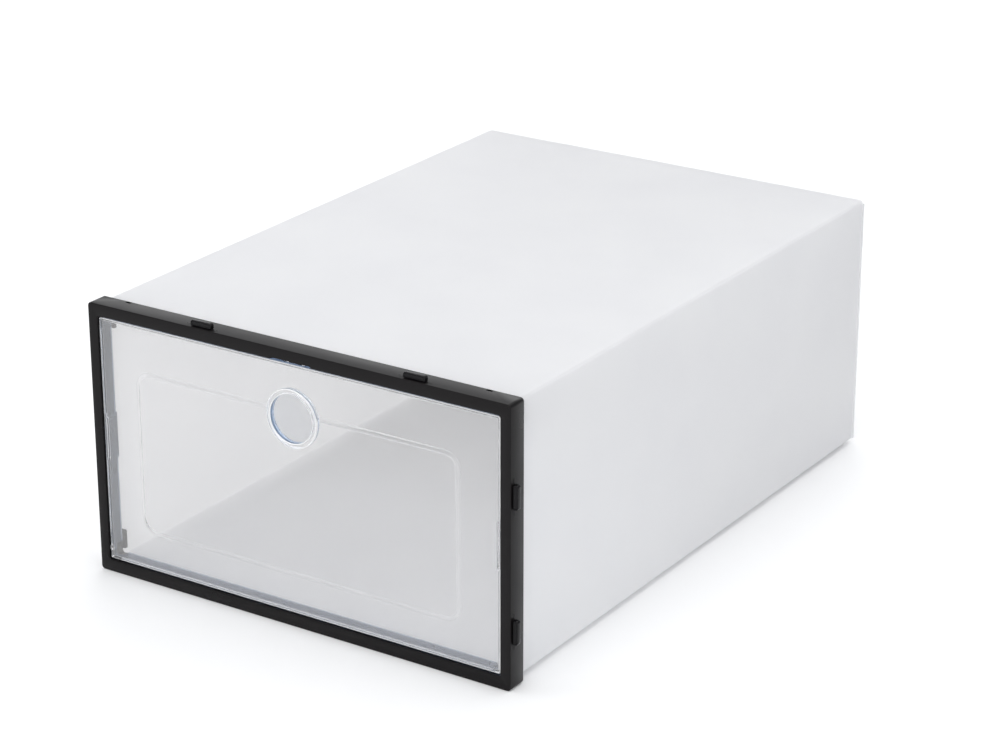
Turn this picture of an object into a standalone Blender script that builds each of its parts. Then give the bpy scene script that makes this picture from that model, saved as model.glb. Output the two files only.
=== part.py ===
"""Stackable drop-front shoe box: a folded polypropylene sheet with a moulded front frame and a clear drop door.

The design coordinates have x = 0 at the middle of the front frame, y = 0 on its front face with the box
running back along +Y, and z = 0 under its bottom bar. One empty carries everything, and puts the origin at
the middle of the footprint. Lengths are in metres.
"""

import math

import bmesh
import bpy
from mathutils import Matrix, Vector

MM = 0.001

# ---------------------------------------------------------------- driving dimensions
FRAME_WIDTH = 230 * MM
FRAME_HEIGHT = 134 * MM
BOX_DEPTH = 332 * MM  # front of the frame to the back of the rear panel
SIDE_BAR = 5.2 * MM
TOP_BAR = 6.0 * MM
BOTTOM_BAR = 6.0 * MM
FRAME_CORNER_RADIUS = 1.8 * MM
OPENING_CORNER_RADIUS = 1.2 * MM

SHEET = 0.8 * MM  # polypropylene sheet
SHEET_GAP = 0.3 * MM  # at a crease, between layers and in the frame's groove
SIDE_STEP = 2.3 * MM  # how far the frame stands proud of the sheet
BOTTOM_STEP = 2.4 * MM
TOP_STEP = 1.2 * MM
GROOVE_DEPTH = 3.0 * MM  # groove at the back of the frame that holds the sheet's front edge

DOOR_RECESS = 0.6 * MM  # door panel behind the frame's front face
DOOR_PANEL = 1.4 * MM
DOOR_RIM_DEPTH = 8.0 * MM  # panel and rim together
DOOR_RIM_WALL = 1.2 * MM
DOOR_SIDE_GAP = 0.5 * MM
DOOR_TOP_GAP = 0.6 * MM
DOOR_BOTTOM_GAP = 0.7 * MM
DOOR_CORNER_RADIUS = 1.0 * MM

HINGE_BEHIND_FRONT = 2.5 * MM
HINGE_ABOVE_BAR = 5.6 * MM
PIN_RADIUS = 1.5 * MM
PIN_LENGTH = 2.4 * MM
PIN_CLEARANCE = 0.1 * MM
PIN_SIDES = 24

RING_BELOW_OPENING = 26 * MM  # ring's centre, below the opening's top edge
RING_OUTER_RADIUS = 14.0 * MM
RING_HOLE_RADIUS = 11.6 * MM
RING_PROUD = 1.0 * MM
RING_SIDES = 64

EMBOSS_FROM_SIDE = 26 * MM  # embossed field, from the frame's outside
EMBOSS_FROM_BOTTOM = 25 * MM
EMBOSS_FROM_TOP = 28 * MM
EMBOSS_RADIUS = 8 * MM
EMBOSS_STEP = 0.5 * MM

STOP_REACH = 3.0 * MM  # corner stops that the closed door rests against
STOP_THICKNESS = 1.7 * MM
STOP_CLEARANCE = 0.3 * MM
UPPER_STOP_HEIGHT = 8 * MM
LOWER_STOP_LOW_Z = 9 * MM
LOWER_STOP_HEIGHT = 9 * MM
FLANGE_CORNER_CUT = 4.8 * MM

DETENT_ABOVE_MIDDLE = 0.5 * MM
DETENT_HEIGHT = 17 * MM
DETENT_REACH = 1.1 * MM
DETENT_FRONT_Y = 3.0 * MM
DETENT_BACK_Y = 8.0 * MM
DETENT_CHAMFER = 1.0 * MM
DETENT_CLEARANCE = 1.5 * MM

LATCH_ROOT_WIDTH = 9.3 * MM
LATCH_TIP_WIDTH = 6.6 * MM
LATCH_DROP = 1.4 * MM
LATCH_FRONT_Y = 4.0 * MM
LATCH_BACK_Y = 8.0 * MM
LATCH_CLEARANCE = 1.2 * MM
LATCH_NOTCH_WIDTH = 22.2 * MM
LATCH_NOTCH_DEPTH = 1.0 * MM

CLIP_HEAD_LENGTH = 11.4 * MM
CLIP_HEAD_WIDTH = 2.4 * MM
CLIP_RISE = 2.8 * MM
CLIP_BASE_LENGTH = 17.2 * MM
CLIP_BASE_WIDTH = 1.4 * MM
CLIP_BASE_RISE = 0.9 * MM
CLIP_STEM_LENGTH = 9.0 * MM
CLIP_STEM_WIDTH = 1.6 * MM
CLIP_STEM_DEPTH = 3.0 * MM
CLIP_FIT = 0.3 * MM
CLIP_CENTRE_Y = 2.7 * MM
CLIP_EDGE_ROUND = 0.4 * MM
TOP_CLIP_LEFT_X = -50.5 * MM
TOP_CLIP_RIGHT_X = 65 * MM
SIDE_CLIP_FROM_BOTTOM = 28 * MM
SIDE_CLIP_FROM_TOP = 42.5 * MM
SLOT_CLEARANCE = 0.35 * MM  # round a neighbour's clip, in the slots on the left and underneath

SNAP_WINDOW_FROM_SIDE = 16.5 * MM
SNAP_WINDOW_LENGTH = 3.0 * MM
SNAP_WINDOW_WIDTH = 1.4 * MM
SNAP_WINDOW_FROM_BACK = 0.6 * MM

DUST_FLAP_LENGTH = 86 * MM
DUST_FLAP_EDGE_GAP = 1.5 * MM
DUST_FLAP_TAPER = 12.5 * MM
DUST_FLAP_FLAT = 26 * MM
DUST_FLAP_RADIUS = 6 * MM
TOP_FLAP_LENGTH = 76.7 * MM
TONGUE_WIDTH = 60 * MM
TONGUE_LENGTH = 12 * MM
TONGUE_DIP = 1.0 * MM
TONGUE_CLEARANCE = 1.5 * MM

CUT_OVER = 1.0 * MM  # how far a cutter passes the face it opens
JOIN_DEPTH = 0.5 * MM  # how far a joined shape reaches into what carries it
SAME_LEVEL = 1e-4 * MM

# ---------------------------------------------------------------- derived places
HALF_WIDTH = FRAME_WIDTH / 2
OPENING_HALF = HALF_WIDTH - SIDE_BAR
OPENING_LOW = BOTTOM_BAR
OPENING_HIGH = FRAME_HEIGHT - TOP_BAR

DOOR_FRONT = DOOR_RECESS
DOOR_INSIDE = DOOR_RECESS + DOOR_PANEL
DOOR_BACK = DOOR_RECESS + DOOR_RIM_DEPTH
FRAME_DEPTH = DOOR_BACK + STOP_CLEARANCE + STOP_THICKNESS

SLEEVE_HALF = HALF_WIDTH - SIDE_STEP
SLEEVE_LOW = BOTTOM_STEP
SLEEVE_HIGH = FRAME_HEIGHT - TOP_STEP
SHEET_FRONT = FRAME_DEPTH - GROOVE_DEPTH + SHEET_GAP
INNER_HALF = SLEEVE_HALF - SHEET

# The back has three layers: dust flaps inside, then the top flap, then the rear panel.
REAR_PANEL_Y = BOX_DEPTH - SHEET
TOP_FLAP_Y = REAR_PANEL_Y - SHEET_GAP - SHEET
DUST_FLAP_Y = TOP_FLAP_Y - SHEET_GAP - SHEET

HINGE_Y = HINGE_BEHIND_FRONT
HINGE_Z = OPENING_LOW + HINGE_ABOVE_BAR
DOOR_HALF = OPENING_HALF - DOOR_SIDE_GAP
DOOR_LOW = OPENING_LOW + DOOR_BOTTOM_GAP
DOOR_HIGH = OPENING_HIGH - DOOR_TOP_GAP
RING_FRONT = DOOR_FRONT - RING_PROUD
RING_CENTRE_Z = OPENING_HIGH - RING_BELOW_OPENING
DETENT_CENTRE_Z = FRAME_HEIGHT / 2 + DETENT_ABOVE_MIDDLE

FOOTPRINT_X = CLIP_RISE / 2
FOOTPRINT_Y = (RING_FRONT + BOX_DEPTH) / 2


# ---------------------------------------------------------------- modelling helpers
def material(name, colour, roughness, alpha=1.0):
    made = bpy.data.materials.new(name)
    made.use_nodes = True
    shader = made.node_tree.nodes["Principled BSDF"]
    shader.inputs["Base Color"].default_value = (*colour, 1.0)
    shader.inputs["Roughness"].default_value = roughness
    shader.inputs["Metallic"].default_value = 0.0
    shader.inputs["Alpha"].default_value = alpha
    return made


def new_object(name, mesh_builder, finish=None):
    """An object in design coordinates from a bmesh, with its normals facing out."""
    bmesh.ops.recalc_face_normals(mesh_builder, faces=mesh_builder.faces)
    mesh = bpy.data.meshes.new(name)
    mesh_builder.to_mesh(mesh)
    mesh_builder.free()
    made = bpy.data.objects.new(name, mesh)
    if finish:
        made.data.materials.append(finish)
    bpy.context.scene.collection.objects.link(made)
    return made


def block(name, low, high, finish=None):
    shape = bmesh.new()
    bmesh.ops.create_cube(shape, size=1.0)
    for vertex in shape.verts:
        for axis in range(3):
            vertex.co[axis] = low[axis] if vertex.co[axis] < 0 else high[axis]
    return new_object(name, shape, finish)


def prism(name, outline, normal_axis, start, end, finish=None):
    """An outline of (a, b) points extruded along normal_axis: x takes (y, z), y takes (x, z), z takes (x, y)."""

    def place(a, b, along):
        return {"x": (along, a, b), "y": (a, along, b), "z": (a, b, along)}[normal_axis]

    shape = bmesh.new()
    near = [shape.verts.new(place(a, b, start)) for a, b in outline]
    far = [shape.verts.new(place(a, b, end)) for a, b in outline]
    shape.faces.new(near)
    shape.faces.new(list(reversed(far)))
    for i in range(len(outline)):
        j = (i + 1) % len(outline)
        shape.faces.new((near[i], far[i], far[j], near[j]))
    return new_object(name, shape, finish)


def circle(centre, radius, sides):
    step = 2 * math.pi / sides
    return [
        (centre[0] + radius * math.cos(i * step), centre[1] + radius * math.sin(i * step))
        for i in range(sides)
    ]


def rounded_outline(corners, radii, steps=6):
    """A polygon's outline with each corner replaced by an arc of its own radius, where it has one."""
    points = []
    for i, corner in enumerate(corners):
        here = Vector(corner)
        radius = radii[i]
        if radius <= 0:
            points.append(tuple(here))
            continue
        to_last = (Vector(corners[i - 1]) - here).normalized()
        to_next = (Vector(corners[(i + 1) % len(corners)]) - here).normalized()
        half_angle = to_last.angle(to_next) / 2
        start = here + to_last * (radius / math.tan(half_angle))
        end = here + to_next * (radius / math.tan(half_angle))
        centre = here + (to_last + to_next).normalized() * (radius / math.sin(half_angle))
        first = (start - centre).normalized()
        turn = first.angle_signed((end - centre).normalized())
        for step in range(steps + 1):
            angle = -turn * step / steps
            along = Vector(
                (
                    first.x * math.cos(angle) - first.y * math.sin(angle),
                    first.x * math.sin(angle) + first.y * math.cos(angle),
                )
            )
            points.append(tuple(centre + along * radius))
    return points


def rounded_rectangle(left, right, low, high, radius, steps=6):
    corners = [(left, low), (right, low), (right, high), (left, high)]
    return rounded_outline(corners, [radius] * 4, steps)


def combine(target, tool, operation):
    """Cuts, joins or intersects target with tool, which is used up."""
    boolean = target.modifiers.new(operation.lower(), "BOOLEAN")
    boolean.object = tool
    boolean.operation = operation
    boolean.solver = "EXACT"
    bpy.context.view_layer.objects.active = target
    bpy.ops.object.modifier_apply(modifier=boolean.name)
    bpy.data.objects.remove(tool)


def cut(target, tool):
    combine(target, tool, "DIFFERENCE")


def join(target, tool):
    combine(target, tool, "UNION")


def put_origin(part, point):
    """Moves the part's origin to a point, such as one on its hinge axis, and leaves its shape in place."""
    point = Vector(point)
    part.data.transform(Matrix.Translation(-point))
    part.location = point


# ---------------------------------------------------------------- front frame
def stacking_places():
    """Each clip's name, the face it stands on, and its centre along that face."""
    return [
        ("top_clip_left", "top", TOP_CLIP_LEFT_X),
        ("top_clip_right", "top", TOP_CLIP_RIGHT_X),
        ("side_clip_lower", "side", SIDE_CLIP_FROM_BOTTOM),
        ("side_clip_upper", "side", FRAME_HEIGHT - SIDE_CLIP_FROM_TOP),
    ]


def on_face(face, along, length, width, low, high):
    """Corners of a block on the top or right side, low to high measured outwards from that face."""
    front = CLIP_CENTRE_Y - width / 2
    back = CLIP_CENTRE_Y + width / 2
    if face == "top":
        return (
            (along - length / 2, front, FRAME_HEIGHT + low),
            (along + length / 2, back, FRAME_HEIGHT + high),
        )
    return (
        (HALF_WIDTH + low, front, along - length / 2),
        (HALF_WIDTH + high, back, along + length / 2),
    )


def receiving_slot(face, along):
    """Corners of the pocket that takes a neighbour's clip: underneath for a top clip, left for a side clip."""
    length = CLIP_HEAD_LENGTH + 2 * SLOT_CLEARANCE
    front = CLIP_CENTRE_Y - CLIP_HEAD_WIDTH / 2 - SLOT_CLEARANCE
    back = CLIP_CENTRE_Y + CLIP_HEAD_WIDTH / 2 + SLOT_CLEARANCE
    depth = CLIP_RISE + SLOT_CLEARANCE
    if face == "top":
        return (along - length / 2, front, -CUT_OVER), (along + length / 2, back, depth)
    return (
        (-HALF_WIDTH - CUT_OVER, front, along - length / 2),
        (-HALF_WIDTH + depth, back, along + length / 2),
    )


def base_relief(face, along):
    """Corners of the shallow seat for the base ribs of that clip, so that two frames meet flat."""
    length = CLIP_BASE_LENGTH + 2 * SLOT_CLEARANCE
    front = CLIP_CENTRE_Y - CLIP_BASE_WIDTH / 2 - SLOT_CLEARANCE
    back = CLIP_CENTRE_Y + CLIP_BASE_WIDTH / 2 + SLOT_CLEARANCE
    depth = CLIP_BASE_RISE + SLOT_CLEARANCE
    if face == "top":
        return (along - length / 2, front, -CUT_OVER), (along + length / 2, back, depth)
    return (
        (-HALF_WIDTH - CUT_OVER, front, along - length / 2),
        (-HALF_WIDTH + depth, back, along + length / 2),
    )


def make_front_frame(finish):
    outline = rounded_rectangle(-HALF_WIDTH, HALF_WIDTH, 0, FRAME_HEIGHT, FRAME_CORNER_RADIUS)
    frame = prism("front_frame", outline, "y", 0, FRAME_DEPTH, finish)
    opening = rounded_rectangle(
        -OPENING_HALF, OPENING_HALF, OPENING_LOW, OPENING_HIGH, OPENING_CORNER_RADIUS
    )
    cut(frame, prism("opening", opening, "y", -CUT_OVER, FRAME_DEPTH + CUT_OVER))
    cut_sheet_groove(frame)
    add_corner_stops(frame)
    add_detent_ribs(frame)
    add_latch(frame)
    cut_hinge_sockets(frame)
    cut_clip_sockets(frame)
    cut_snap_windows(frame)
    return frame


def cut_sheet_groove(frame):
    """A slot round the back of the frame, as wide as the sheet and a gap on each side."""
    outside = rounded_rectangle(
        -SLEEVE_HALF - SHEET_GAP,
        SLEEVE_HALF + SHEET_GAP,
        SLEEVE_LOW - SHEET_GAP,
        SLEEVE_HIGH + SHEET_GAP,
        0,
    )
    inside = rounded_rectangle(
        -INNER_HALF + SHEET_GAP,
        INNER_HALF - SHEET_GAP,
        SLEEVE_LOW + SHEET + SHEET_GAP,
        SLEEVE_HIGH - SHEET - SHEET_GAP,
        0,
    )
    groove_start = FRAME_DEPTH - GROOVE_DEPTH
    groove = prism("groove", outside, "y", groove_start, FRAME_DEPTH + CUT_OVER)
    cut(groove, prism("core", inside, "y", groove_start - CUT_OVER, FRAME_DEPTH + 2 * CUT_OVER))
    cut(frame, groove)


def add_corner_stops(frame):
    """Four small plates at the back of the opening's corners, behind the closed door's rim."""
    front = FRAME_DEPTH - STOP_THICKNESS
    levels = [
        (OPENING_HIGH - UPPER_STOP_HEIGHT, OPENING_HIGH + JOIN_DEPTH),
        (LOWER_STOP_LOW_Z, LOWER_STOP_LOW_Z + LOWER_STOP_HEIGHT),
    ]
    for side in (-1, 1):
        for low, high in levels:
            xs = sorted((side * (OPENING_HALF - STOP_REACH), side * (OPENING_HALF + JOIN_DEPTH)))
            stop = block("stop", (xs[0], front, low), (xs[1], FRAME_DEPTH, high))
            join(frame, stop)


def add_detent_ribs(frame):
    """A rib on each inner side that the door's rim snaps over, with chamfered ends."""
    half = DETENT_HEIGHT / 2
    for side in (-1, 1):
        inner = side * (OPENING_HALF - DETENT_REACH)
        outer = side * (OPENING_HALF + JOIN_DEPTH)
        outline = [
            (outer, DETENT_CENTRE_Z - half),
            (outer, DETENT_CENTRE_Z + half),
            (inner, DETENT_CENTRE_Z + half),
            (inner, DETENT_CENTRE_Z - half + DETENT_CHAMFER),
            (side * OPENING_HALF, DETENT_CENTRE_Z - half),
        ]
        join(frame, prism("rib", outline, "y", DETENT_FRONT_Y, DETENT_BACK_Y))


def add_latch(frame):
    """A shallow notch in the top bar with a tapered nub in its middle."""
    notch_low = (-LATCH_NOTCH_WIDTH / 2, -CUT_OVER, OPENING_HIGH - CUT_OVER)
    notch_high = (LATCH_NOTCH_WIDTH / 2, FRAME_DEPTH + CUT_OVER, OPENING_HIGH + LATCH_NOTCH_DEPTH)
    cut(frame, block("notch", notch_low, notch_high))
    root_z = OPENING_HIGH + LATCH_NOTCH_DEPTH + JOIN_DEPTH
    outline = [
        (-LATCH_ROOT_WIDTH / 2, root_z),
        (-LATCH_ROOT_WIDTH / 2, OPENING_HIGH),
        (-LATCH_TIP_WIDTH / 2, OPENING_HIGH - LATCH_DROP),
        (LATCH_TIP_WIDTH / 2, OPENING_HIGH - LATCH_DROP),
        (LATCH_ROOT_WIDTH / 2, OPENING_HIGH),
        (LATCH_ROOT_WIDTH / 2, root_z),
    ]
    join(frame, prism("nub", outline, "y", LATCH_FRONT_Y, LATCH_BACK_Y))


def cut_hinge_sockets(frame):
    """Blind holes in the side bars. Their flats clear the pins by the running clearance."""
    radius = (PIN_RADIUS + PIN_CLEARANCE) / math.cos(math.pi / PIN_SIDES)
    outline = circle((HINGE_Y, HINGE_Z), radius, PIN_SIDES)
    reach = DOOR_HALF + PIN_LENGTH + SHEET_GAP
    for side in (-1, 1):
        hole = prism("socket", outline, "x", side * (OPENING_HALF - CUT_OVER), side * reach)
        cut(frame, hole)


def cut_clip_sockets(frame):
    """Sockets for the box's own clips, and the slots that take a neighbour's."""
    for _, face, along in stacking_places():
        length = CLIP_STEM_LENGTH + 2 * CLIP_FIT
        width = CLIP_STEM_WIDTH + 2 * CLIP_FIT
        low, high = on_face(face, along, length, width, -CLIP_STEM_DEPTH - CLIP_FIT, CUT_OVER)
        cut(frame, block("socket", low, high))
        cut(frame, block("slot", *receiving_slot(face, along)))
        cut(frame, block("relief", *base_relief(face, along)))


def cut_snap_windows(frame):
    """Two small windows through the top bar into the groove, over the sheet's snap holes."""
    back = FRAME_DEPTH - SNAP_WINDOW_FROM_BACK
    for side in (-1, 1):
        centre = side * (HALF_WIDTH - SNAP_WINDOW_FROM_SIDE)
        low = (centre - SNAP_WINDOW_LENGTH / 2, back - SNAP_WINDOW_WIDTH, SLEEVE_HIGH)
        high = (centre + SNAP_WINDOW_LENGTH / 2, back, FRAME_HEIGHT + CUT_OVER)
        cut(frame, block("window", low, high))


# ---------------------------------------------------------------- stacking clips
def make_clip(name, face, along, finish):
    """A snap-in connector: a blunt head on a thin base rib, with a stem in the frame's socket."""
    head = block(
        name,
        *on_face(face, along, CLIP_HEAD_LENGTH, CLIP_HEAD_WIDTH, CLIP_FIT, CLIP_RISE),
        finish,
    )
    round_edges(head, CLIP_EDGE_ROUND, face)
    base = block("base", *on_face(face, along, CLIP_BASE_LENGTH, CLIP_BASE_WIDTH, CLIP_FIT, CLIP_BASE_RISE))
    join(head, base)
    stem_reach = CLIP_FIT + JOIN_DEPTH
    stem = block(
        "stem",
        *on_face(face, along, CLIP_STEM_LENGTH, CLIP_STEM_WIDTH, -CLIP_STEM_DEPTH, stem_reach),
    )
    join(head, stem)
    return head


def round_edges(part, width, face):
    """Rounds the outermost edges of a head that stands on the top or the right side."""
    axis = 2 if face == "top" else 0
    shape = bmesh.new()
    shape.from_mesh(part.data)
    outermost = max(vertex.co[axis] for vertex in shape.verts)
    edges = [
        edge
        for edge in shape.edges
        if all(abs(vertex.co[axis] - outermost) < SAME_LEVEL for vertex in edge.verts)
    ]
    bmesh.ops.bevel(shape, geom=edges, offset=width, segments=2, affect="EDGES", profile=0.5)
    shape.to_mesh(part.data)
    shape.free()


# ---------------------------------------------------------------- drop door
def make_door(finish):
    outline = rounded_rectangle(-DOOR_HALF, DOOR_HALF, DOOR_LOW, DOOR_HIGH, DOOR_CORNER_RADIUS)
    door = prism("door", outline, "y", DOOR_FRONT, DOOR_BACK, finish)
    hollow_door(door)
    emboss_door(door)
    add_ring(door)
    clear_detents(door)
    clear_latch(door)
    clear_lower_stops(door)
    add_hinge_pins(door)
    put_origin(door, (0, HINGE_Y, HINGE_Z))
    return door


def hollow_door(door):
    hollow = block(
        "hollow",
        (-DOOR_HALF + DOOR_RIM_WALL, DOOR_INSIDE, DOOR_LOW + DOOR_RIM_WALL),
        (DOOR_HALF - DOOR_RIM_WALL, DOOR_BACK + CUT_OVER, DOOR_HIGH - DOOR_RIM_WALL),
    )
    cut(door, hollow)


def emboss_door(door):
    """The field inside the embossed line stands forward by one step, at the same thickness."""
    half = HALF_WIDTH - EMBOSS_FROM_SIDE
    high = FRAME_HEIGHT - EMBOSS_FROM_TOP
    outline = rounded_rectangle(-half, half, EMBOSS_FROM_BOTTOM, high, EMBOSS_RADIUS)
    join(door, prism("field", outline, "y", DOOR_FRONT - EMBOSS_STEP, DOOR_INSIDE - EMBOSS_STEP))
    cut(door, prism("recess", outline, "y", DOOR_INSIDE - EMBOSS_STEP, DOOR_INSIDE + EMBOSS_STEP))


def add_ring(door):
    centre = (0, RING_CENTRE_Z)
    ring = circle(centre, RING_OUTER_RADIUS, RING_SIDES)
    hole = circle(centre, RING_HOLE_RADIUS, RING_SIDES)
    join(door, prism("ring", ring, "y", RING_FRONT, DOOR_INSIDE + RING_PROUD))
    cut(door, prism("hole", hole, "y", RING_FRONT - CUT_OVER, DOOR_BACK))


def clear_detents(door):
    """At each detent rib the door's side rim steps inwards, round a pocket that is open at the back."""
    low = DETENT_CENTRE_Z - DETENT_HEIGHT / 2 - DETENT_CLEARANCE
    high = DETENT_CENTRE_Z + DETENT_HEIGHT / 2 + DETENT_CLEARANCE
    front = DOOR_INSIDE + SHEET_GAP
    pocket_depth = DETENT_REACH - DOOR_SIDE_GAP + SHEET_GAP
    for side in (-1, 1):
        outer = side * (DOOR_HALF - DOOR_RIM_WALL / 2)
        inner = side * (DOOR_HALF - pocket_depth - DOOR_RIM_WALL)
        xs = sorted((outer, inner))
        step = block(
            "step",
            (xs[0], DOOR_INSIDE - SHEET_GAP, low - DOOR_RIM_WALL),
            (xs[1], DOOR_BACK, high + DOOR_RIM_WALL),
        )
        join(door, step)
        xs = sorted((side * (DOOR_HALF + CUT_OVER), side * (DOOR_HALF - pocket_depth)))
        cut(door, block("pocket", (xs[0], front, low), (xs[1], DOOR_BACK + CUT_OVER, high)))


def clear_latch(door):
    """A slot in the top rim, open at the back, that the latch nub sits in."""
    half = LATCH_ROOT_WIDTH / 2 + LATCH_CLEARANCE
    low = (-half, LATCH_FRONT_Y - LATCH_CLEARANCE, DOOR_HIGH - DOOR_RIM_WALL - CUT_OVER)
    high = (half, DOOR_BACK + CUT_OVER, DOOR_HIGH + CUT_OVER)
    cut(door, block("slot", low, high))


def clear_lower_stops(door):
    """The bottom rim is cut back at its ends, where it would swing into the lower corner stops."""
    for side in (-1, 1):
        xs = sorted((side * (DOOR_HALF - FLANGE_CORNER_CUT), side * (DOOR_HALF + CUT_OVER)))
        low = (xs[0], HINGE_Y + PIN_RADIUS + SHEET_GAP, DOOR_LOW - CUT_OVER)
        high = (xs[1], DOOR_BACK + CUT_OVER, HINGE_Z + PIN_RADIUS)
        cut(door, block("corner", low, high))


def add_hinge_pins(door):
    outline = circle((HINGE_Y, HINGE_Z), PIN_RADIUS, PIN_SIDES)
    for side in (-1, 1):
        root = DOOR_HALF - DOOR_RIM_WALL / 2
        join(door, prism("pin", outline, "x", side * root, side * (DOOR_HALF + PIN_LENGTH)))


# ---------------------------------------------------------------- folded sheet
def make_sleeve(finish):
    """The four walls of the folded sheet, each a panel that ends one gap short of its creases."""
    wall_low = SLEEVE_LOW + SHEET + SHEET_GAP
    wall_high = SLEEVE_HIGH - SHEET - SHEET_GAP
    crease_y = REAR_PANEL_Y - SHEET_GAP
    block(
        "floor_panel",
        (-SLEEVE_HALF, SHEET_FRONT, SLEEVE_LOW),
        (SLEEVE_HALF, crease_y, SLEEVE_LOW + SHEET),
        finish,
    )
    block(
        "top_panel",
        (-SLEEVE_HALF, SHEET_FRONT, SLEEVE_HIGH - SHEET),
        (SLEEVE_HALF, BOX_DEPTH, SLEEVE_HIGH),
        finish,
    )
    for name, side in (("left_wall", -1), ("right_wall", 1)):
        xs = sorted((side * INNER_HALF, side * SLEEVE_HALF))
        block(
            name,
            (xs[0], SHEET_FRONT, wall_low),
            (xs[1], TOP_FLAP_Y - SHEET_GAP, wall_high),
            finish,
        )


def make_top_flap(finish):
    """The flap that hangs from the top panel's rear crease, with the slit for the rear panel's tongue."""
    high = SLEEVE_HIGH - SHEET - SHEET_GAP
    low = (-SLEEVE_HALF, TOP_FLAP_Y, high - TOP_FLAP_LENGTH)
    flap = block("top_flap", low, (SLEEVE_HALF, TOP_FLAP_Y + SHEET, high), finish)
    half = TONGUE_WIDTH / 2 + TONGUE_CLEARANCE
    slit_low = high - SHEET - TONGUE_DIP - TONGUE_CLEARANCE
    cut(flap, block("slit", (-half, TOP_FLAP_Y - CUT_OVER, slit_low), (half, BOX_DEPTH, high + CUT_OVER)))


def make_rear_panel(finish):
    """The outer back wall, hinged on the floor's rear crease, with a tongue that tucks under the top."""
    high = SLEEVE_HIGH - SHEET - SHEET_GAP
    panel = block(
        "rear_panel",
        (-SLEEVE_HALF, REAR_PANEL_Y, SLEEVE_LOW),
        (SLEEVE_HALF, BOX_DEPTH, high),
        finish,
    )
    tip = REAR_PANEL_Y - TONGUE_LENGTH
    outline = [
        (BOX_DEPTH - SHEET / 2, high),
        (tip, high - TONGUE_DIP),
        (tip, high - TONGUE_DIP - SHEET),
        (BOX_DEPTH - SHEET / 2, high - SHEET),
    ]
    join(panel, prism("tongue", outline, "x", -TONGUE_WIDTH / 2, TONGUE_WIDTH / 2))
    put_origin(panel, (0, BOX_DEPTH, SLEEVE_LOW))


def make_dust_flap(name, side, finish):
    """A side flap behind the walls, tapered towards its free edge."""
    crease_x = INNER_HALF - SHEET_GAP
    free_x = crease_x - DUST_FLAP_LENGTH
    low = SLEEVE_LOW + SHEET + DUST_FLAP_EDGE_GAP
    high = SLEEVE_HIGH - SHEET - DUST_FLAP_EDGE_GAP
    corners = [
        (side * crease_x, low),
        (side * (crease_x - DUST_FLAP_FLAT), low),
        (side * free_x, low + DUST_FLAP_TAPER),
        (side * free_x, high - DUST_FLAP_TAPER),
        (side * (crease_x - DUST_FLAP_FLAT), high),
        (side * crease_x, high),
    ]
    outline = rounded_outline(corners, [0, 0, DUST_FLAP_RADIUS, DUST_FLAP_RADIUS, 0, 0])
    flap = prism(name, outline, "y", DUST_FLAP_Y, DUST_FLAP_Y + SHEET, finish)
    put_origin(flap, (side * crease_x, DUST_FLAP_Y, (low + high) / 2))


# ---------------------------------------------------------------- assembly
def main():
    for old in list(bpy.data.objects):
        bpy.data.objects.remove(old)

    black_moulding = material("black_moulding", (0.014, 0.012, 0.013), 0.38)
    clip_moulding = material("clip_moulding", (0.008, 0.008, 0.009), 0.3)
    clear_moulding = material("clear_moulding", (0.78, 0.82, 0.86), 0.08, alpha=0.3)
    frosted_sheet = material("frosted_sheet", (0.77, 0.77, 0.79), 0.45)

    make_front_frame(black_moulding)
    for name, face, along in stacking_places():
        make_clip(name, face, along, clip_moulding)
    make_door(clear_moulding)
    make_sleeve(frosted_sheet)
    make_top_flap(frosted_sheet)
    make_rear_panel(frosted_sheet)
    make_dust_flap("left_dust_flap", -1, frosted_sheet)
    make_dust_flap("right_dust_flap", 1, frosted_sheet)

    footprint = bpy.data.objects.new("footprint_middle", None)
    footprint.location = (-FOOTPRINT_X, -FOOTPRINT_Y, 0)
    bpy.context.scene.collection.objects.link(footprint)
    for part in bpy.data.objects:
        if part.type == "MESH":
            part.parent = footprint


main()
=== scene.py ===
import math

import bmesh
import bpy
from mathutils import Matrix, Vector


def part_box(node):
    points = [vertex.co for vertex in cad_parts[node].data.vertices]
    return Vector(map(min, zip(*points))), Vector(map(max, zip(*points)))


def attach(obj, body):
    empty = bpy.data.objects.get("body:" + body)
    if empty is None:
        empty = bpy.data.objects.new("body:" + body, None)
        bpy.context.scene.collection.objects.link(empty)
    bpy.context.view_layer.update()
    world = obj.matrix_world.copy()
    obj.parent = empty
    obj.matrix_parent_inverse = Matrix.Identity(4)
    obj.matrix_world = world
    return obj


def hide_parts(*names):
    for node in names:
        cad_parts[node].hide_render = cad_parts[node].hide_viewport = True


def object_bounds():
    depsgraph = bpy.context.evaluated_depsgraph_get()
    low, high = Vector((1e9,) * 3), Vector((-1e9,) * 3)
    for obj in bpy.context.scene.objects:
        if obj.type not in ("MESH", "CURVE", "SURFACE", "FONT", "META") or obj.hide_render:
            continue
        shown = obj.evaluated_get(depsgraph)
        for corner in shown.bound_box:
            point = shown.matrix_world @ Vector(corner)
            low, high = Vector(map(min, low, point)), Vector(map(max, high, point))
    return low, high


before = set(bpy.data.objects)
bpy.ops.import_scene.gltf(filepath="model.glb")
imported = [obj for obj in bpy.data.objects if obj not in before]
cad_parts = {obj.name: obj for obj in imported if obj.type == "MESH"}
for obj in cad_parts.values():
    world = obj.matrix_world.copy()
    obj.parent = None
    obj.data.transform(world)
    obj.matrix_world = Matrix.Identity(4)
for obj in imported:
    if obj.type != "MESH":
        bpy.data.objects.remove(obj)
cad_box = [list(corner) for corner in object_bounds()]

# ---------------------------------------------------------------- front frame
# The mouth of the box is one black moulding with a satin, finely grained surface: four bars with rounded
# corners. Small plates stop the door in its corners, a rib on each side and a nub above snap over its rim,
# and a groove at the back grips the folded sheet.

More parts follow.
